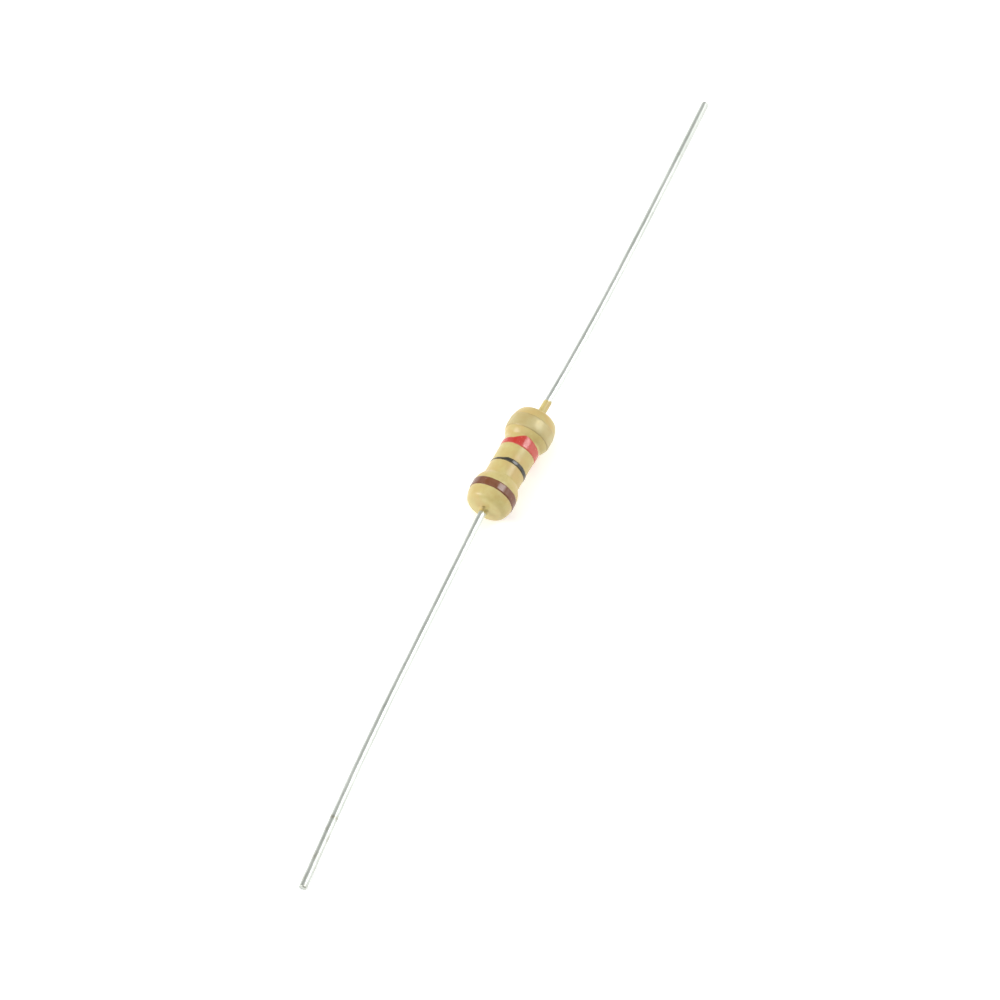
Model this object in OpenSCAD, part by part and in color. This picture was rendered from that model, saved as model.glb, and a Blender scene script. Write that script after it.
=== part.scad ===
// Axial carbon film resistor with four colour bands, lying as it comes to rest.
// Millimetres. X runs along the body towards the gold band, and Z = 0 is the surface it lies on.
// The origin is on that surface, under the middle of the body.

/* [Ceramic core] */
// Diameter of the ceramic rod
core_d = 2.14; // [2:0.02:2.3]
// Length of the ceramic rod
core_len = 6.9; // [6.5:0.1:7.5]

/* [Carbon film] */
// Thickness of the film on the rod
film_t = 0.03; // [0.02:0.01:0.05]
// Distance between neighbouring turns of the trim groove
trim_pitch = 0.62; // [0.5:0.02:0.7]
// Number of turns of the trim groove
trim_turns = 5; // [3:0.5:5]
// Width of the trim groove
trim_w = 0.18; // [0.1:0.02:0.3]
// Depth of the trim groove in the ceramic
trim_depth = 0.05; // [0.03:0.01:0.1]

/* [End caps] */
// Wall of the pressed cap
cap_wall = 0.25; // [0.2:0.01:0.3]
// Length of the cap, closed end included
cap_len = 1.85; // [1.5:0.05:2.1]
// Outer radius of the cap's pressed corner
cap_corner_r = 0.2; // [0.1:0.02:0.3]

/* [Leads] */
// Diameter of the wire
lead_d = 0.52; // [0.45:0.01:0.6]
// Length of each wire from cap to tip, along the wire
lead_len = 29.7; // [27:0.1:33]
// Diameter of the weld head on the cap
weld_d = 0.84; // [0.7:0.02:1]
// Length over which the weld head narrows to the wire
weld_len = 0.25; // [0.15:0.05:0.3]
// Straight stretch at each tip, which the packing tape held
tip_straight = 6; // [4:0.5:7]
// Straight stretch past the coating, before the brown end's wire turns
brown_exit = 0.04; // [0.02:0.02:0.3]
// Turn of the brown end's wire next to the coating, in degrees
brown_kink_turn = 3.8; // [2:0.1:6]
// Length of wire in that turn
brown_kink_len = 0.4; // [0.3:0.1:1]
// Turn of the brown end's wire before its tip, in degrees
brown_bend_turn = 2.3; // [1:0.1:4]
// Length of wire in that turn
brown_bend_len = 9.75; // [6:0.25:12]
// Straight stretch past the coating, before the gold end's wire turns
gold_exit = 0.05; // [0.02:0.01:0.3]
// First turn of the gold end's wire, in degrees
gold_bow_turn = 4.9; // [3:0.1:7]
// Length of wire in that turn
gold_bow_len = 12; // [9:0.5:14]
// Second turn of the gold end's wire, in degrees
gold_bend_turn = 1; // [0.5:0.1:3]
// Length of wire in that turn
gold_bend_len = 6.9; // [4:0.1:8]

/* [Lacquer coating] */
// Thickness over the film, at the waist
coat_waist_t = 0.17; // [0.12:0.01:0.25]
// Thickness over the caps, at the crest
coat_cap_t = 0.25; // [0.2:0.01:0.35]
// Thickness over the caps' closed ends
coat_end_t = 0.34; // [0.25:0.01:0.45]
// Distance from the cap's open edge to where the waist starts
neck_run = 0.3; // [0.2:0.05:0.5]
// Radius of the hollow beside the waist
neck_r = 0.25; // [0.15:0.05:0.4]
// Radius of the shoulder between the hollow and the crest
shoulder_r = 1.27; // [1:0.05:1.35]
// Radius of the crown between the crest and the rim
crown_r = 1.75; // [1.5:0.05:2]
// Turn of the crown, in degrees
crown_turn = 25; // [20:1:30]
// Radius of the rim around each end
rim_r = 0.46; // [0.3:0.02:0.5]
// Thickness on the wire, in the skirt and the tail
tail_t = 0.04; // [0.02:0.01:0.08]
// Length of the skirt on the brown end's wire
skirt_len = 0.25; // [0.2:0.05:0.6]
// Length of the tail on the gold end's wire
tail_len = 1.42; // [0.4:0.02:1.6]
// Radius of the hollow between each end and the wire
meniscus_r = 0.14; // [0.08:0.02:0.2]

/* [Colour bands] */
// Thickness of the bands
band_t = 0.03; // [0.02:0.01:0.05]
// Outer edge of the brown band, from the middle of the body
brown_start = 3.12; // [3:0.02:3.3]
// Width of the brown band
brown_w = 0.66; // [0.5:0.02:0.9]
// Edge of the black band nearer the brown one, from the middle of the body
black_start = 0.74; // [0.6:0.02:0.9]
// Width of the black band
black_w = 0.4; // [0.3:0.02:0.6]
// Edge of the red band nearer the black one, from the middle of the body
red_start = 0.77; // [0.6:0.01:0.9]
// Width of the red band
red_w = 0.86; // [0.6:0.02:0.95]
// Edge of the gold band nearer the red one, from the middle of the body
gold_start = 2.08; // [1.9:0.02:2.3]
// Width of the gold band
gold_w = 1.1; // [0.7:0.05:1.2]

/* [Hidden] */

// Smoothness of round bodies, of wire, and of the long gentle turns of a wire
round_fn = 96;
wire_fn = 32;
turn_fn = 720;

// Largest step along an arc of an outline, and along the trim groove, in degrees
arc_step = 5;
trim_step = 15;

// The ball that joins two stretches of wire stands this much proud of them
joint_skin = 0.002;

// Radii and stations of what the coating covers
core_r = core_d / 2;
film_r = core_r + film_t;
cap_r = film_r + cap_wall;
cap_face = core_len / 2 + cap_wall;
cap_mouth = cap_face - cap_len;
lead_r = lead_d / 2;
weld_r = weld_d / 2;

// The trim groove: where it starts, its floor, and how far its cutter reaches past the film
trim_start = -trim_turns * trim_pitch / 2;
trim_floor_r = core_r - trim_depth;
trim_top_r = film_r + coat_waist_t / 3;

// The coating's outline, from the waist to the middle of the end
waist_r = film_r + coat_waist_t;
crest_r = cap_r + coat_cap_t;
body_end = cap_face + coat_end_t;
rim_turn = 80;
waist_end = cap_mouth - neck_run;
neck_centre = [waist_r + neck_r, waist_end];
shoulder_rise = neck_centre.x - (crest_r - shoulder_r);
shoulder_run = sqrt(pow(neck_r + shoulder_r, 2) - pow(shoulder_rise, 2));
shoulder_turn = atan2(shoulder_run, shoulder_rise);
shoulder_centre = [crest_r - shoulder_r, waist_end + shoulder_run];
rim_centre_r = crest_r - crown_r + (crown_r - rim_r) * cos(crown_turn);
dome_r = rim_r + rim_centre_r / cos(rim_turn);
dome_centre = [0, body_end - dome_r];
rim_centre = [rim_centre_r, dome_centre.y + (dome_r - rim_r) * sin(rim_turn)];
crown_centre = [crest_r - crown_r, rim_centre.y - (crown_r - rim_r) * sin(crown_turn)];

// The coating on the wires
tail_r = lead_r + tail_t;
meniscus_x = tail_r + meniscus_r;
meniscus_turn = acos(meniscus_x / (dome_r + meniscus_r));
meniscus_centre = [meniscus_x, dome_centre.y + meniscus_x * tan(meniscus_turn)];

// The body lies on its bands
axis_z = crest_r + band_t;

// Each wire as stretches of [length, turn], from the end of its weld head to its tip
brown_lead_run = wire_run(skirt_len + brown_exit, brown_kink_len, brown_kink_turn,
                          brown_bend_len, brown_bend_turn);
gold_lead_run = wire_run(tail_len + gold_exit, gold_bow_len, gold_bow_turn,
                         gold_bend_len, gold_bend_turn);

function wire_run(bare, first_len, first_turn, second_len, second_turn) =
    let (cover = body_end - cap_face - weld_len + bare,
         between = lead_len - weld_len - cover - first_len - second_len - tip_straight)
    [[cover, 0], [first_len, first_turn], [between, 0], [second_len, second_turn], [tip_straight, 0]];

// Where a stretch of wire ends, seen from its start
function stretch_end(len, turn) =
    turn == 0 ? [len, 0]
    : let (r = len / turn * 180 / PI) [r * sin(turn), -r * (1 - cos(turn))];

function turned(p, a) = [p.x * cos(a) - p.y * sin(a), p.x * sin(a) + p.y * cos(a)];

// Where a wire's tip lies, in the plane that it is bent in
function wire_tip(run, i = 0) =
    i == len(run) ? [0, 0]
    : stretch_end(run[i][0], run[i][1]) + turned(wire_tip(run, i + 1), -run[i][1]);

function whole_turn(run, i = 0) = i == len(run) ? 0 : run[i][1] + whole_turn(run, i + 1);

// How far a wire's plane leans from straight down, so that the edge of its tip touches the surface
function lean(run) =
    let (side = -wire_tip(run).y,
         edge = lead_r * sin(whole_turn(run)),
         reach = side * side + edge * edge,
         spare = pow(axis_z * side, 2) - reach * (axis_z * axis_z - lead_r * lead_r))
    acos(min(1, (axis_z * side - sqrt(max(0, spare))) / reach));

// Outlines have the distance from the axis as x and the place along the axis as y

function reversed(points) = [for (i = [len(points) - 1 : -1 : 0]) points[i]];

function flipped(points) = [for (p = reversed(points)) [p.x, -p.y]];

// Points along an arc, without its first one
function arc(centre, r, from, to) =
    let (steps = ceil(abs(to - from) / arc_step))
    [for (i = [1 : steps]) let (a = from + (to - from) * i / steps) centre + r * [cos(a), sin(a)]];

// The coating's outside, from the waist to where it ends on a wire
function skin(cover) = concat(
    [[waist_r, waist_end]],
    arc(neck_centre, neck_r, 180, 180 - shoulder_turn),
    arc(shoulder_centre, shoulder_r, -shoulder_turn, 0),
    [[crest_r, crown_centre.y]],
    arc(crown_centre, crown_r, 0, crown_turn),
    arc(rim_centre, rim_r, crown_turn, rim_turn),
    arc(dome_centre, dome_r, rim_turn, meniscus_turn),
    arc(meniscus_centre, meniscus_r, 180 + meniscus_turn, 180),
    [[tail_r, body_end + cover]]);

// The pressed cap's outside, from its mouth to its face
cap_skin = concat(
    [[cap_r, cap_mouth], [cap_r, cap_face - cap_corner_r]],
    arc([cap_r - cap_corner_r, cap_face - cap_corner_r], cap_corner_r, 0, 90));

// What the coating lies on, from the film past cap and weld head to where it ends on a wire
function covered(cover) = concat(
    [[film_r, cap_mouth]],
    cap_skin,
    [[weld_r, cap_face], [lead_r, cap_face + weld_len], [lead_r, body_end + cover]]);

outside = concat(flipped(skin(skirt_len)), skin(tail_len));
inside = concat(flipped(covered(skirt_len)), covered(tail_len));

// The coating's radius at any place along the body, for the bands
radius_at = [for (p = outside) [p.y, p.x]];

// Turns an outline about the body's axis
module on_axis()
    translate([0, 0, axis_z]) rotate([0, 90, 0]) rotate_extrude($fn = round_fn) children();

// The spiral of the trim groove, which is cut out of film and core and filled by the coating
module trim_spiral() {
    steps = round(trim_turns * 360 / trim_step);
    corners = [[trim_floor_r, -trim_w / 2], [trim_top_r, -trim_w / 2],
               [trim_top_r, trim_w / 2], [trim_floor_r, trim_w / 2]];
    points = [for (i = [0 : steps], c = corners)
        let (a = i * trim_step)
        [c.x * cos(a), c.x * sin(a), trim_start + trim_pitch * a / 360 + c.y]];
    walls = [for (i = [0 : steps - 1], j = [0 : 3])
        let (a = 4 * i + j, b = 4 * i + (j + 1) % 4) each [[a, b, b + 4], [a, b + 4, a + 4]]];
    last = 4 * steps;
    ends = [[0, 2, 1], [0, 3, 2], [last, last + 1, last + 2], [last, last + 2, last + 3]];
    translate([0, 0, axis_z]) rotate([0, 90, 0]) polyhedron(points, concat(walls, ends));
}

module ceramic_core()
    color("white") difference() {
        on_axis() translate([0, -core_len / 2]) square([core_r, core_len]);
        trim_spiral();
    }

module carbon_film()
    color([0.16, 0.16, 0.17]) difference() {
        on_axis() translate([core_r, -core_len / 2]) square([film_t, core_len]);
        trim_spiral();
    }

// side is 1 for the gold end and -1 for the brown end
module end_cap(side)
    color([0.72, 0.72, 0.74]) mirror([side < 0 ? 1 : 0, 0, 0]) on_axis()
        polygon(concat([[0, core_len / 2], [film_r, core_len / 2], [film_r, cap_mouth]],
                       cap_skin, [[0, cap_face]]));

// One stretch of wire along X, turning towards -Y
module wire_stretch(len, turn)
    if (turn == 0)
        rotate([0, 90, 0]) cylinder(h = len, r = lead_r, $fn = wire_fn);
    else {
        r = len / turn * 180 / PI;
        translate([0, -r, 0]) rotate_extrude(angle = turn, start = 90 - turn, $fn = turn_fn)
            translate([r, 0]) circle(lead_r, $fn = wire_fn);
    }

module wire(run, i = 0)
    if (i < len(run)) {
        end = stretch_end(run[i][0], run[i][1]);
        wire_stretch(run[i][0], run[i][1]);
        translate([end.x, end.y, 0]) rotate([0, 0, -run[i][1]]) {
            if (i < len(run) - 1) rotate([0, 90, 0]) sphere(lead_r + joint_skin, $fn = wire_fn);
            wire(run, i + 1);
        }
    }

// A lead along +X: its plane leans from straight down towards +Y for a side of 1, towards -Y for -1
module lead(side, run)
    color([0.8, 0.81, 0.82]) mirror([side < 0 ? 1 : 0, 0, 0])
        translate([cap_face, 0, axis_z]) rotate([90 + side * lean(run), 0, 0]) {
            rotate([0, 90, 0]) cylinder(h = weld_len, r1 = weld_r, r2 = lead_r, $fn = wire_fn);
            translate([weld_len, 0, 0]) wire(run);
        }

module lead_brown_end() lead(-1, brown_lead_run);

module lead_gold_end() lead(1, gold_lead_run);

module lacquer_coating()
    color([0.84, 0.76, 0.54]) {
        on_axis() polygon(concat(outside, reversed(inside)));
        trim_spiral();
    }

// A band that follows the coating, from one place along the body to another
module band(from, to) {
    places = concat([from], [for (p = outside) if (p.y > from && p.y < to) p.y], [to]);
    under = [for (y = places) [lookup(y, radius_at), y]];
    over = [for (p = under) p + [band_t, 0]];
    on_axis() polygon(concat(under, reversed(over)));
}

module band_brown() color([0.5, 0.28, 0.16]) band(-brown_start, brown_w - brown_start);

module band_black() color([0.1, 0.1, 0.1]) band(-black_start, black_w - black_start);

module band_red() color([0.82, 0.25, 0.2]) band(red_start, red_start + red_w);

module band_gold() color([0.75, 0.68, 0.48]) band(gold_start, gold_start + gold_w);

ceramic_core();
carbon_film();
end_cap(-1);  // end_cap_brown_end
end_cap(1);  // end_cap_gold_end
lead_brown_end();
lead_gold_end();
lacquer_coating();
band_brown();
band_black();
band_red();
band_gold();
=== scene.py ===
# Looks of an axial film resistor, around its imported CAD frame.
# Lengths are millimetres, as in the CAD, and MM turns them into Blender's metres.
# Noise scales, bump distances, lights and floor are in Blender's own units.
import math

import bpy
import numpy as np
from mathutils import Matrix, Vector


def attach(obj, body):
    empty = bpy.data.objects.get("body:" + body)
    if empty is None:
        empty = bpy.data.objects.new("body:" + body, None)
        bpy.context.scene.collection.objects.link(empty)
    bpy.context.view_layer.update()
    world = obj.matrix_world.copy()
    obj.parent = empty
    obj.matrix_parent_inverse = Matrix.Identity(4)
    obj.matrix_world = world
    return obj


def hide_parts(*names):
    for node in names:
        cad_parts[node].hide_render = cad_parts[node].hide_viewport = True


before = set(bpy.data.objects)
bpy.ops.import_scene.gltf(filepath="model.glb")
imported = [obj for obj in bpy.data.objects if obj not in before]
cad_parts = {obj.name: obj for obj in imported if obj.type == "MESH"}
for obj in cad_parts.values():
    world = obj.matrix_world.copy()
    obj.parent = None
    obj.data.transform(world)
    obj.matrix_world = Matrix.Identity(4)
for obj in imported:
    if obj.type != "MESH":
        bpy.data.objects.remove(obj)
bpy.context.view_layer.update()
MM = 0.001

# Sizes, as in the CAD
FILM_R, CAP_R = 1.10, 1.35
CAP_FACE, CAP_MOUTH, CAP_CORNER = 3.70, 1.85, 0.2
LEAD_R, WELD_R, WELD_LEN = 0.26, 0.42, 0.25
WAIST_R, CREST_R, BODY_END = 1.27, 1.60, 4.04
NECK_RUN, NECK_R, SHOULDER_R = 0.3, 0.25, 1.27
CROWN_R, CROWN_TURN, RIM_R, RIM_TURN = 1.75, 25, 0.46, 80
TAIL_T, SKIRT_LEN, TAIL_LEN, MENISCUS_R = 0.04, 0.25, 1.42, 0.14
BAND_T, AXIS_Z = 0.03, 1.63
LEAD_LEN, TIP_STRAIGHT = 29.7, 6
BROWN_EXIT, GOLD_EXIT = 0.04, 0.05
# Length of wire and degrees of its first turn, then of its second
BROWN_BENDS = (0.4, 3.8, 9.75, 2.3)
GOLD_BENDS = (12, 4.9, 6.9, 1.0)

# How finely the meshes are divided
AROUND, WIRE_AROUND, BAND_ROWS = 288, 40, 28
WAIST_HALF, WAIST_ROWS = 1.2, 12
WIRE_STEP, TIP_STEP = 0.2, 0.06

# Surface detail that the CAD leaves out
FLOW_DEPTH, SAG_DEPTH, SAG_PITCH = 0.012, 0.010, 2.1
FLOW_STARTS_R, FLOW_FULL_R = LEAD_R + 0.1, 0.9
TAIL_THINNER, TAIL_THINS_AT, TAIL_THIN_AT, TAIL_RAG_AT = 0.022, 0.1, 0.3, 0.25
SKIRT_THINNER, SKIRT_THINS_AT, SKIRT_THIN_AT = 0.020, 0.05, 0.2
PINHOLE_R, PINHOLE_WIDE, PINHOLE_DEPTH = 0.34, 0.06, 0.13
PINHOLE_ANGLE, PINHOLE_TURN = -15, 15
DOME_DEEP, DOME_R = 0.2, 1.0
BAND_RAG, BAND_UNDER, BAND_PALE_RIM = 0.012, 0.004, 0.09
BAND_UNEVEN, BAND_PITCH, BAND_RISES, BAND_RISEN = 0.12, 3, -0.012, 0.07
CUT_LEN, CUT_SHOULDER, CUT_FACE, CUT_SLANT = 0.02, 0.96, 0.86, 0.05
WIRE_ROUGH = 0.006
GLUE_FROM_TIP, GLUE_BLUR, GLUE_TURN = 5.15, 0.3, 1.1
GLUE_RING, GLUE_RING_SHARE, GLUE_SPOT_SHARE = 0.13, 0.9, 0.55
# Place past the glue's start, turn in radians and size of each spot of glue
GLUE_SPOTS = ((0.9, 0.6, 0.20), (1.5, 2.8, 0.30), (2.1, 4.9, 0.25), (2.9, 1.2, 0.35),
              (3.6, 3.6, 0.25), (4.5, 0.2, 0.30), (5.2, 2.2, 0.30))

# Camera, fitted to the photo
ELEVATION, HEADING = math.radians(57.90), math.radians(26.45)
DISTANCE, SCALE, CENTRE_PX = 312.2, 15.2, (511.57, 463.55)
PHOTO_PX, SENSOR = 1000, 36

forward = Vector((math.cos(ELEVATION) * math.cos(HEADING),
                  math.cos(ELEVATION) * math.sin(HEADING), -math.sin(ELEVATION)))
right = Vector((math.sin(HEADING), -math.cos(HEADING), 0))
up = right.cross(forward)
camera_data = bpy.data.cameras.new("camera")
camera_data.sensor_width = SENSOR
camera_data.lens = SCALE * DISTANCE * SENSOR / PHOTO_PX
camera_data.clip_start, camera_data.clip_end = 0.01, 10
camera = bpy.data.objects.new("camera", camera_data)
camera.location = (Vector((0, 0, AXIS_Z)) - right * ((CENTRE_PX[0] - PHOTO_PX / 2) / SCALE)
                   + up * ((CENTRE_PX[1] - PHOTO_PX / 2) / SCALE) - forward * DISTANCE) * MM
camera.rotation_euler = forward.to_track_quat("-Z", "Y").to_euler()
bpy.context.scene.collection.objects.link(camera)
bpy.context.scene.camera = camera


# Outlines, as (radius, place along the axis)
def sin(a):
    return math.sin(math.radians(a))


def cos(a):
    return math.cos(math.radians(a))


def arc(centre, r, a, b, step=2.0):
    """Points after the first of an arc from a to b degrees."""
    n = max(1, math.ceil(abs(b - a) / step))
    return [(centre[0] + r * cos(a + (b - a) * i / n), centre[1] + r * sin(a + (b - a) * i / n))
            for i in range(1, n + 1)]


def line(a, b, n):
    """Points after the first of a line from a to b."""
    return [(a[0] + (b[0] - a[0]) * i / n, a[1] + (b[1] - a[1]) * i / n) for i in range(1, n + 1)]


def skin(cover):
    """The coating's outside from the waist to its end on the wire."""
    start = CAP_MOUTH - NECK_RUN
    neck = (WAIST_R + NECK_R, start)
    rise = neck[0] - (CREST_R - SHOULDER_R)
    run = math.sqrt((NECK_R + SHOULDER_R) ** 2 - rise ** 2)
    turn = math.degrees(math.atan2(run, rise))
    rim_x = CREST_R - CROWN_R + (CROWN_R - RIM_R) * cos(CROWN_TURN)
    dome_r = RIM_R + rim_x / cos(RIM_TURN)
    dome = (0, BODY_END - dome_r)
    rim = (rim_x, dome[1] + (dome_r - RIM_R) * sin(RIM_TURN))
    crown = (CREST_R - CROWN_R, rim[1] - (CROWN_R - RIM_R) * sin(CROWN_TURN))
    foot_x = LEAD_R + TAIL_T + MENISCUS_R
    foot_turn = math.degrees(math.acos(foot_x / (dome_r + MENISCUS_R)))
    foot = (foot_x, dome[1] + foot_x * math.tan(math.radians(foot_turn)))
    points = [(WAIST_R, start)]
    points += arc(neck, NECK_R, 180, 180 - turn)
    points += arc((CREST_R - SHOULDER_R, start + run), SHOULDER_R, -turn, 0)
    points += line(points[-1], (CREST_R, crown[1]), 4)
    points += arc(crown, CROWN_R, 0, CROWN_TURN)
    points += arc(rim, RIM_R, CROWN_TURN, RIM_TURN)
    points += arc(dome, dome_r, RIM_TURN, foot_turn, 0.4)
    points += arc(foot, MENISCUS_R, 180 + foot_turn, 180, 5)
    points += line(points[-1], (LEAD_R + TAIL_T, BODY_END + cover), max(2, round(cover / 0.05)))
    return points


def covered(cover):
    """What the coating lies on, from the middle of the film to its end on the wire."""
    points = [(FILM_R, CAP_MOUTH), (CAP_R, CAP_MOUTH), (CAP_R, CAP_FACE - CAP_CORNER)]
    points += arc((CAP_R - CAP_CORNER, CAP_FACE - CAP_CORNER), CAP_CORNER, 0, 90, 10)
    return points + [(WELD_R, CAP_FACE), (LEAD_R, CAP_FACE + WELD_LEN), (LEAD_R, BODY_END + cover)]


def mirrored(points):
    return [(r, -x) for r, x in reversed(points)]


WAIST = [(WAIST_R, -WAIST_HALF + 2 * WAIST_HALF / WAIST_ROWS * i) for i in range(WAIST_ROWS + 1)]
OUTSIDE = mirrored(skin(SKIRT_LEN)) + WAIST + skin(TAIL_LEN)
INSIDE = mirrored(covered(SKIRT_LEN)) + covered(TAIL_LEN)
OUTSIDE_X = [x for r, x in OUTSIDE]
OUTSIDE_R = [r for r, x in OUTSIDE]


def radius_at(x):
    return float(np.interp(x, OUTSIDE_X, OUTSIDE_R))


# Angles around the body are in degrees from the side that faces the camera, positive towards -Y
ANGLES = [360 * k / AROUND for k in range(AROUND)]
toward = Vector((0, -forward.y, -forward.z)).normalized()
aside = Vector((0, toward.y, toward.z)).cross(Vector((-1, 0, 0))).normalized()
if aside.y > 0:
    aside = -aside


def around(x, r, a):
    """World point at place x, radius r and angle a around the body's axis."""
    d = toward * cos(a) + aside * sin(a)
    return (x * MM, r * d.y * MM, (AXIS_Z + r * d.z) * MM)


def angle_from(a, middle):
    """How far a is from the middle, between -180 and 180 degrees."""
    return (a - middle + 180) % 360 - 180


def blend(v, low, high):
    """0 below low, 1 above high and smooth between them."""
    t = min(1.0, max(0.0, (v - low) / (high - low)))
    return t * t * (3 - 2 * t)


def by_angle(table):
    """A smooth periodic function through (angle, value) pairs."""
    angles = [a for a, v in table]
    values = [v for a, v in table]
    angles = [angles[-1] - 360] + angles + [angles[0] + 360]
    values = [values[-1]] + values + [values[0]]

    def f(a):
        a = angle_from(a, 0)
        for i in range(len(angles) - 1):
            if angles[i] <= a <= angles[i + 1]:
                t = (a - angles[i]) / (angles[i + 1] - angles[i])
                return values[i] + (values[i + 1] - values[i]) * (0.7 * t + 0.3 * blend(t, 0, 1))
        return values[0]
    return f


def waves(x, a, seed):
    """Smooth irregularity around and along the body, between about -1 and 1."""
    total, scale = 0.0, 0.0
    for i, (turns, pitch, weight) in enumerate(((1, 0.6, 1.0), (2, 1.1, 0.5), (3, 2.3, 0.3))):
        shift = seed * (12.9 + 7.7 * i)
        across = math.sin(math.radians(a) * turns + shift)
        total += weight * across * math.cos(x * pitch + shift * 1.7)
        scale += weight
    return total / scale


def ragged(a, seed):
    """Fine unevenness of a painted edge."""
    t = math.radians(a)
    return (0.5 * math.sin(3 * t + seed) + 0.35 * math.sin(8 * t + 2.1 * seed)
            + 0.25 * math.sin(19 * t + 3.7 * seed) + 0.15 * math.sin(43 * t + 1.3 * seed))


def coat(x, r, a):
    """The coating's radius with its flow marks, where its even outline has radius r. Never more."""
    free = blend(r, FLOW_STARTS_R, FLOW_FULL_R)
    flow = FLOW_DEPTH * (waves(x, a, 1.3) - 1) * free
    sag = SAG_DEPTH * (waves(x * SAG_PITCH, a, 4.1) - 1) * free
    return r + flow + sag


def pinhole(r, a):
    """1 at the middle of the pinhole that the lacquer left beside the wire at the brown end.
    The coating sinks there by this much, and its colour darkens by it as painted shade.
    """
    off = angle_from(a, PINHOLE_ANGLE)
    return math.exp(-((r - PINHOLE_R) / PINHOLE_WIDE) ** 2 - (off / PINHOLE_TURN) ** 2)


def tail_end(a):
    """How far the tail's ragged edge stops short of its CAD length."""
    return 0.06 - 0.045 * sin(a) + 0.012 * (1 + sin(5 * a + 115))


# Meshes
def make(name, verts, faces):
    mesh = bpy.data.meshes.new(name)
    mesh.from_pydata([tuple(v) for v in verts], [], faces)
    mesh.validate()
    mesh.update()
    mesh.shade_smooth()
    obj = bpy.data.objects.new(name, mesh)
    bpy.context.scene.collection.objects.link(obj)
    return obj


def mark(obj, name, values):
    """A number for each point, from 0 to 1, that the material reads."""
    layer = obj.data.attributes.new(name, "FLOAT", "POINT")
    layer.data.foreach_set("value", np.array(values, dtype=np.float32))


def grid_faces(rows, cols, closed_rows=False):
    """Quads of a grid whose columns go round, and whose rows may."""
    faces = []
    for i in range(rows if closed_rows else rows - 1):
        j = (i + 1) % rows
        for k in range(cols):
            m = (k + 1) % cols
            faces.append((i * cols + k, i * cols + m, j * cols + m, j * cols + k))
    return faces


def coating():
    """The skin over body and first stretch of each wire, inside and outside."""
    verts, pinhole_shade = [], []
    for r, x in OUTSIDE:
        for a in ANGLES:
            px, pr, dark = x, coat(x, r, a), 0.0
            past = abs(x) - BODY_END
            if x > 0:
                px = x - tail_end(a) * blend(past, TAIL_RAG_AT, TAIL_LEN)
                pr -= TAIL_THINNER * blend(past, TAIL_THINS_AT, TAIL_THIN_AT)
            else:
                pr -= SKIRT_THINNER * blend(past, SKIRT_THINS_AT, SKIRT_THIN_AT)
            # The pinhole sinks into the end's lacquer, and the same amount darkens the lacquer
            # there as painted shade of that recess.
            if x < 0 and past > -DOME_DEEP and r < DOME_R:
                dark = pinhole(r, a)
                px += PINHOLE_DEPTH * dark
            verts.append(around(px, pr, a))
            pinhole_shade.append(dark)
    for r, x in reversed(INSIDE):
        for a in ANGLES:
            px = x - tail_end(a) if x > BODY_END + TAIL_RAG_AT else x
            verts.append(around(px, r, a))
            pinhole_shade.append(0.0)
    obj = make("coat", verts, grid_faces(len(OUTSIDE) + len(INSIDE), AROUND, True))
    mark(obj, "pinhole_shade", pinhole_shade)
    return obj


def band(name, start, end, seed, thin_and_sheen=None):
    """A painted ring that follows the coating between two edges. Edges and thin_and_sheen, how far
    the paint is turned paler, partly as thin paint and partly as a painted reflection, are
    functions of the angle."""
    verts, rim = [], []
    edges = [(a, start(a) + BAND_RAG * ragged(a, seed), end(a) + BAND_RAG * ragged(a, seed + 5))
             for a in ANGLES]
    across = [i / BAND_ROWS for i in range(BAND_ROWS + 1)]
    for u in across:
        for a, lo, hi in edges:
            x = lo + (hi - lo) * u
            inward = min(u, 1 - u) * (hi - lo)
            t = BAND_T * blend(inward, BAND_RISES, BAND_RISEN)
            t *= 1 - BAND_UNEVEN + BAND_UNEVEN * waves(x * BAND_PITCH, a, seed)
            verts.append(around(x, coat(x, radius_at(x), a) + t, a))
            # The rim mark is 1 at the band's edges and, on the red, rises where its paint is turned
            # paler, partly thin paint and partly painted reflection.
            rim.append(max(1 - blend(inward, 0.0, BAND_PALE_RIM), thin_and_sheen(a) if thin_and_sheen else 0.0))
    for u in reversed(across):
        for a, lo, hi in edges:
            x = lo + (hi - lo) * u
            verts.append(around(x, coat(x, radius_at(x), a) - BAND_UNDER, a))
            rim.append(1.0)
    obj = make(name, verts, grid_faces(2 * len(across), AROUND, True))
    mark(obj, "rim", rim)
    return obj


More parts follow.
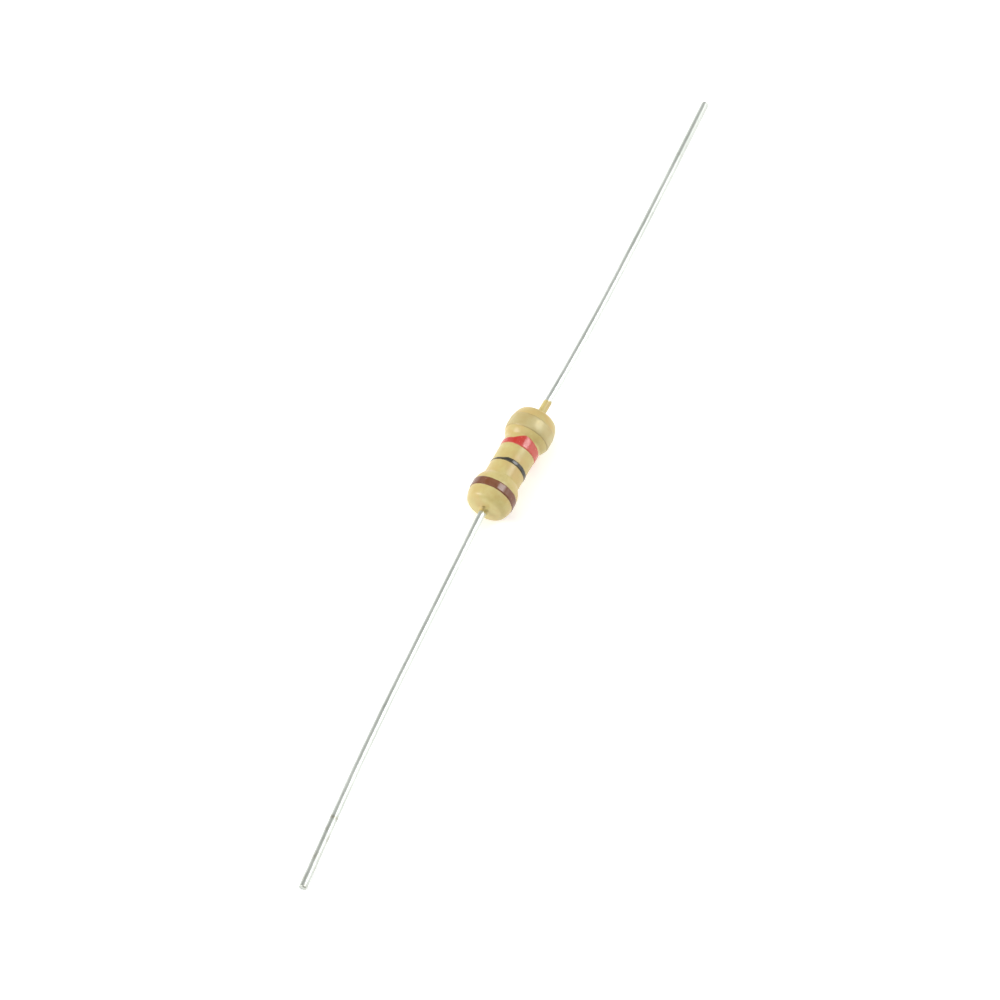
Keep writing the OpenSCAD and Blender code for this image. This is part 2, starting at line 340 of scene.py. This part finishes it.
def wire_path(side, bare, first_len, first_turn, second_len, second_turn):
    """A wire's centreline from the cap's face to its tip, as points, directions and lengths so far.
    It turns first where it has run bare past the body's end."""
    cover = BODY_END - CAP_FACE - WELD_LEN + bare
    between = LEAD_LEN - WELD_LEN - cover - first_len - second_len - TIP_STRAIGHT
    runs = [(WELD_LEN + cover, 0), (first_len, first_turn), (between, 0),
            (second_len, second_turn), (TIP_STRAIGHT, 0)]
    p, a, s, flat = [0.0, 0.0], 0.0, 0.0, [(0.0, 0.0, 0.0, 0.0)]
    for length, turn in runs:
        n = max(2, math.ceil(length / (TIP_STEP if length == TIP_STRAIGHT else WIRE_STEP)))
        for i in range(n):
            mid = a + turn * (i + 0.5) / n
            p = [p[0] + cos(mid) * length / n, p[1] - sin(mid) * length / n]
            flat.append((p[0], p[1], a + turn * (i + 1) / n, s + length * (i + 1) / n))
        a += turn
        s += length
    # The wire's plane leans until the edge of its tip touches the floor
    drop, edge = -p[1], LEAD_R * sin(a)
    reach = drop ** 2 + edge ** 2
    spare = (AXIS_Z * drop) ** 2 - reach * (AXIS_Z ** 2 - LEAD_R ** 2)
    lean = math.degrees(math.acos(min(1, (AXIS_Z * drop - math.sqrt(max(0, spare))) / reach)))
    tilt = 90 + side * lean
    path = []
    for x, y, turned, s in flat:
        point = Vector((side * (CAP_FACE + x), y * cos(tilt), AXIS_Z + y * sin(tilt)))
        along = Vector((side * cos(turned), -sin(turned) * cos(tilt), -sin(turned) * sin(tilt)))
        path.append((point, along, s))
    return path


def residue(s, t):
    """Where the packing tape's glue is left on the wire, from 0 to 1."""
    past = s - (LEAD_LEN - GLUE_FROM_TIP)
    if past < -GLUE_BLUR:
        return 0.0
    ring = math.exp(-(past / GLUE_RING) ** 2)
    spots = 0.0
    for place, turn, size in GLUE_SPOTS:
        d = (t - turn + math.pi) % (2 * math.pi) - math.pi
        spots = max(spots, math.exp(-((past - place) / size) ** 2 - (d / GLUE_TURN) ** 2))
    return min(1.0, GLUE_RING_SHARE * ring + GLUE_SPOT_SHARE * spots)


def wire(name, path, seed, taped):
    """A wire along a path, its tip cut off and worn. taped is the share of the glue that it has."""
    verts, glue, rings = [], [], []
    for p, d, s in path[:-1]:
        weld = max(0.0, 1 - s / WELD_LEN)
        rings.append((p, d, LEAD_R + (WELD_R - LEAD_R) * weld, s))
    p, d, s = path[-1]
    rings.append((p - d * CUT_LEN, d, LEAD_R * CUT_SHOULDER, LEAD_LEN - CUT_LEN))
    rings.append((p, d, LEAD_R * CUT_FACE, LEAD_LEN))
    for n, (p, d, r, s) in enumerate(rings):
        u = d.cross(Vector((0, 0, 1))).normalized()
        v = u.cross(d)
        for k in range(WIRE_AROUND):
            t = 2 * math.pi * k / WIRE_AROUND
            grain = math.sin(s * 2.1 + seed + 2 * t) * math.sin(s * 0.7 + t)
            out = r * (1 - WIRE_ROUGH * (1 + grain))
            slant = 0.0
            if n == len(rings) - 1:
                slant = -CUT_SLANT * (1 + math.cos(t + seed)) / 2
            verts.append((p + u * (out * math.cos(t)) + v * (out * math.sin(t)) + d * slant) * MM)
            glue.append(residue(s, t) * taped)
    first_ring = range(WIRE_AROUND)
    last_ring = range((len(rings) - 1) * WIRE_AROUND, len(rings) * WIRE_AROUND)
    faces = [tuple(reversed(face)) for face in grid_faces(len(rings), WIRE_AROUND)]
    faces += [tuple(first_ring), tuple(reversed(last_ring))]
    obj = make(name, verts, faces)
    mark(obj, "glue", glue)
    return obj


# Materials
def srgb(*rgb):
    return tuple((c / 255 / 12.92) if c / 255 <= 0.04045 else ((c / 255 + 0.055) / 1.055) ** 2.4
                 for c in rgb)


def material(name):
    mat = bpy.data.materials.new(name)
    mat.use_nodes = True
    tree = mat.node_tree
    tree.nodes.clear()
    out = tree.nodes.new("ShaderNodeOutputMaterial")
    shader = tree.nodes.new("ShaderNodeBsdfPrincipled")
    tree.links.new(shader.outputs["BSDF"], out.inputs["Surface"])
    return mat, tree, shader


def coords(tree, stretch=(1, 1, 1)):
    tex = tree.nodes.new("ShaderNodeTexCoord")
    mapping = tree.nodes.new("ShaderNodeMapping")
    mapping.inputs["Scale"].default_value = stretch
    tree.links.new(tex.outputs["Object"], mapping.inputs["Vector"])
    return mapping.outputs["Vector"]


def noise(tree, vector, scale, detail, rough=0.5, distortion=0.0):
    n = tree.nodes.new("ShaderNodeTexNoise")
    n.inputs["Scale"].default_value = scale
    n.inputs["Detail"].default_value = detail
    n.inputs["Roughness"].default_value = rough
    n.inputs["Distortion"].default_value = distortion
    tree.links.new(vector, n.inputs["Vector"])
    return n.outputs["Fac"]


def ramp(tree, fac, stops):
    r = tree.nodes.new("ShaderNodeValToRGB")
    els = r.color_ramp.elements
    while len(els) < len(stops):
        els.new(0.5)
    for el, (pos, colour) in zip(els, stops):
        el.position = pos
        el.color = (*colour, 1)
    tree.links.new(fac, r.inputs["Fac"])
    return r.outputs["Color"]


def scaled(tree, fac, low, high, from_low=0.3, from_high=0.7):
    m = tree.nodes.new("ShaderNodeMapRange")
    m.inputs["From Min"].default_value = from_low
    m.inputs["From Max"].default_value = from_high
    m.inputs["To Min"].default_value = low
    m.inputs["To Max"].default_value = high
    tree.links.new(fac, m.inputs["Value"])
    return m.outputs["Result"]


def marked(tree, name, colour, other, share):
    """colour, turned into the other one by up to share where the piece is marked."""
    tag = tree.nodes.new("ShaderNodeAttribute")
    tag.attribute_name = name
    mix = tree.nodes.new("ShaderNodeMix")
    mix.data_type = "RGBA"
    amount = scaled(tree, tag.outputs["Fac"], 0.0, share, 0.0, 1.0)
    tree.links.new(amount, mix.inputs["Factor"])
    # inputs 6 and 7 and output 2 are the colour ones
    tree.links.new(colour, mix.inputs[6])
    mix.inputs[7].default_value = (*other, 1)
    return mix.outputs[2]


def bump(tree, shader, height, strength, distance):
    b = tree.nodes.new("ShaderNodeBump")
    b.inputs["Strength"].default_value = strength
    b.inputs["Distance"].default_value = distance
    tree.links.new(height, b.inputs["Height"])
    tree.links.new(b.outputs["Normal"], shader.inputs["Normal"])


def painted(name, stops, tag, edge, share, low, high, gloss=0.5, flakes=0.0):
    """Lacquer or paint, mottled between the stops' colours and turned to edge where it is marked.
    Its roughness lies between low and high, and flakes is how metallic its specks are."""
    mat, tree, shader = material(name)
    v = coords(tree)
    broad = noise(tree, v, 420, 2, 0.5, 0.6)
    fine = noise(tree, v, 2600, 3, 0.6)
    both = tree.nodes.new("ShaderNodeMix")
    both.inputs["Factor"].default_value = 0.35
    tree.links.new(broad, both.inputs["A"])
    tree.links.new(fine, both.inputs["B"])
    colour = ramp(tree, both.outputs["Result"], [(place, srgb(*rgb)) for place, rgb in stops])
    colour = marked(tree, tag, colour, srgb(*edge), share)
    tree.links.new(colour, shader.inputs["Base Color"])
    tree.links.new(scaled(tree, fine, low, high), shader.inputs["Roughness"])
    shader.inputs["Specular IOR Level"].default_value = gloss
    if flakes:
        specks = scaled(tree, noise(tree, v, 26000, 2), 0.0, flakes, 0.45, 0.65)
        tree.links.new(specks, shader.inputs["Metallic"])
    bump(tree, shader, noise(tree, v, 1500, 3), 0.10, 0.00005)
    return mat


def metal(name, dark, pale, low, high, stretch, scale):
    """Metal between two greys, its roughness between low and high, duller where glue is left."""
    mat, tree, shader = material(name)
    v = coords(tree, stretch)
    n = noise(tree, v, scale, 5, 0.6)
    colour = ramp(tree, n, [(0.3, srgb(*dark)), (0.7, srgb(*pale))])
    colour = marked(tree, "glue", colour, srgb(166, 163, 142), 0.8)
    tree.links.new(colour, shader.inputs["Base Color"])
    shader.inputs["Metallic"].default_value = 1.0
    tree.links.new(scaled(tree, n, low, high), shader.inputs["Roughness"])
    bump(tree, shader, n, 0.1, 0.0001)
    return mat


def mottled(name, scale, detail, dark, pale):
    """The start of a material whose colour wanders between two close ones."""
    mat, tree, shader = material(name)
    v = coords(tree)
    colour = ramp(tree, noise(tree, v, scale, detail), [(0.3, dark), (0.7, pale)])
    tree.links.new(colour, shader.inputs["Base Color"])
    return mat, tree, shader, v


# Where the coating is marked beside the brown end's wire, the lacquer turns towards (136, 116, 66):
# painted shade in the pinhole.
lacquer = painted("tan_lacquer", [(0.36, (212, 184, 116)), (0.48, (210, 189, 121)),
                                  (0.56, (212, 196, 128)), (0.68, (218, 204, 142))],
                  "pinhole_shade", (136, 116, 66), 0.6, 0.28, 0.40)
brown = painted("brown_paint", [(0.36, (116, 64, 36)), (0.5, (126, 74, 44)), (0.66, (138, 86, 54))],
                "rim", (112, 70, 42), 0.5, 0.18, 0.28, 0.6)
black = painted("black_paint", [(0.36, (36, 34, 26)), (0.5, (48, 46, 34)), (0.66, (66, 60, 42))],
                "rim", (112, 98, 60), 0.75, 0.20, 0.30, 0.7)
red = painted("red_paint", [(0.36, (198, 44, 34)), (0.5, (206, 58, 46)), (0.66, (214, 78, 62))],
              "rim", (214, 126, 98), 0.7, 0.20, 0.30, 0.7)
# The gold's rim colour is darker than the band: partly a thicker paint edge, partly painted shade
# of the step at the band's edge.
gold = painted("gold_paint", [(0.36, (200, 178, 116)), (0.5, (203, 187, 128)),
                              (0.66, (206, 194, 140))],
               "rim", (172, 144, 84), 0.6, 0.34, 0.46, 0.8, 0.35)
tin = metal("tinned_wire", (208, 214, 206), (232, 236, 230), 0.26, 0.40, (1, 6, 6), 260)
steel = metal("cap_steel", (150, 150, 152), (190, 190, 192), 0.25, 0.4, (1, 1, 1), 900)

ceramic, tree, shader, v = mottled("core_ceramic", 4000, 3, srgb(226, 222, 212),
                                   srgb(240, 238, 230))
shader.inputs["Roughness"].default_value = 0.7
bump(tree, shader, noise(tree, v, 9000, 2), 0.3, 0.00005)

film, tree, shader, v = mottled("carbon_film", 3000, 3, srgb(38, 38, 40), srgb(58, 58, 62))
tree.links.new(scaled(tree, noise(tree, v, 2000, 2), 0.35, 0.5), shader.inputs["Roughness"])


def dress(obj, mat):
    obj.data.materials.clear()
    obj.data.materials.append(mat)


def put(obj, mat, node):
    dress(obj, mat)
    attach(obj, "root")
    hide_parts(node)


# Pieces, with the edges of the bands by angle
BROWN_START = by_angle([(-90, -3.06), (0, -3.08), (90, -3.14), (180, -3.10)])
BROWN_END = by_angle([(-90, -2.42), (0, -2.46), (90, -2.52), (180, -2.48)])
BLACK_START = by_angle([(-90, -0.68), (-37, -0.67), (10, -0.67), (60, -0.76), (90, -0.78),
                        (180, -0.72)])
BLACK_END = by_angle([(-75, -0.54), (-37, -0.48), (-18, -0.36), (9, -0.35), (34, -0.38),
                      (62, -0.42), (180, -0.40)])
RED_START = by_angle([(-90, 0.80), (0, 0.78), (90, 0.78), (180, 0.80)])
RED_END = by_angle([(-75, 1.22), (-58, 1.24), (-38, 1.27), (-4, 1.67), (6, 1.65), (36, 1.54),
                    (70, 1.44), (180, 1.50)])
# How far the red turns towards its paler rim colour by angle, highest on the side facing the
# lights: partly thin paint, partly a painted reflection.
RED_THIN_AND_SHEEN = by_angle([(-180, 0.1), (-60, 0.1), (-35, 0.0), (15, 0.0), (42, 0.4), (80, 0.5),
                     (130, 0.2)])
GOLD_START = by_angle([(-90, 2.12), (0, 2.10), (90, 2.12), (180, 2.12)])
GOLD_END = by_angle([(-90, 3.12), (0, 3.14), (90, 3.10), (180, 3.12)])

put(coating(), lacquer, "lacquer_coating")
put(band("stripe_brown", BROWN_START, BROWN_END, 1.1), brown, "band_brown")
put(band("stripe_black", BLACK_START, BLACK_END, 2.3), black, "band_black")
put(band("stripe_red", RED_START, RED_END, 3.2, RED_THIN_AND_SHEEN), red, "band_red")
put(band("stripe_gold", GOLD_START, GOLD_END, 4.7), gold, "band_gold")
put(wire("wire_brown", wire_path(-1, SKIRT_LEN + BROWN_EXIT, *BROWN_BENDS), 0.7, 1.0), tin,
    "lead_brown_end")
put(wire("wire_gold", wire_path(1, TAIL_LEN + GOLD_EXIT, *GOLD_BENDS), 2.9, 0.25), tin,
    "lead_gold_end")
for node, mat in (("ceramic_core", ceramic), ("carbon_film", film), ("end_cap_brown_end", steel),
                  ("end_cap_gold_end", steel)):
    dress(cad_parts[node], mat)

# Stage
bpy.ops.mesh.primitive_plane_add(size=1.6, location=(0, 0, 0))
floor = bpy.context.object
floor.name = "floor"
white, tree, shader, v = mottled("pale_floor", 3, 2, (0.93, 0.93, 0.93), (0.95, 0.95, 0.95))
shader.inputs["Roughness"].default_value = 0.9
shader.inputs["Specular IOR Level"].default_value = 0.0
shader.inputs["Emission Color"].default_value = (1, 1, 1, 1)
shader.inputs["Emission Strength"].default_value = 0.36
dress(floor, white)


def softbox(name, direction, distance, along, across, power):
    """An area light that faces the body, along by across metres, the first parallel to the body."""
    data = bpy.data.lights.new(name, "AREA")
    data.shape = "RECTANGLE"
    data.size, data.size_y = along, across
    data.energy = power
    obj = bpy.data.objects.new(name, data)
    z = Vector(direction).normalized()
    x = (Vector((1, 0, 0)) - z * z.x).normalized()
    turn = Matrix((x, z.cross(x), z)).transposed().to_4x4()
    obj.matrix_world = Matrix.Translation(z * distance) @ turn
    bpy.context.scene.collection.objects.link(obj)


# Seen by the camera, body and wires mirror only what lies on a cone around their axis, whose
# directions have 0.476 along it. Lights off that cone brighten without a highlight.
softbox("window", (0.476, -0.47, 0.74), 0.5, 0.13, 0.26, 0.80)
softbox("tent_right", (0.476, -0.86, 0.19), 0.5, 0.13, 0.26, 0.15)
softbox("tent_side", (0.60, -0.62, 0.50), 0.75, 0.90, 0.60, 1.20)
softbox("tent_top", (-0.40, 0.20, 0.89), 0.6, 0.45, 0.45, 0.70)
softbox("tent_over", (0.42, 0.22, 0.86), 0.55, 0.80, 0.40, 0.45)
softbox("tent_front", (-0.50, 0.76, 0.42), 0.6, 0.26, 0.26, 2.0)
softbox("tent_left", (0.476, 0.81, 0.34), 0.5, 0.60, 0.26, 0.28)
world = bpy.data.worlds.new("room")
world.use_nodes = True
background = world.node_tree.nodes["Background"]
background.inputs["Color"].default_value = (1, 1, 1, 1)
background.inputs["Strength"].default_value = 0.20
bpy.context.scene.world = world
bpy.context.scene.view_settings.view_transform = "Standard"
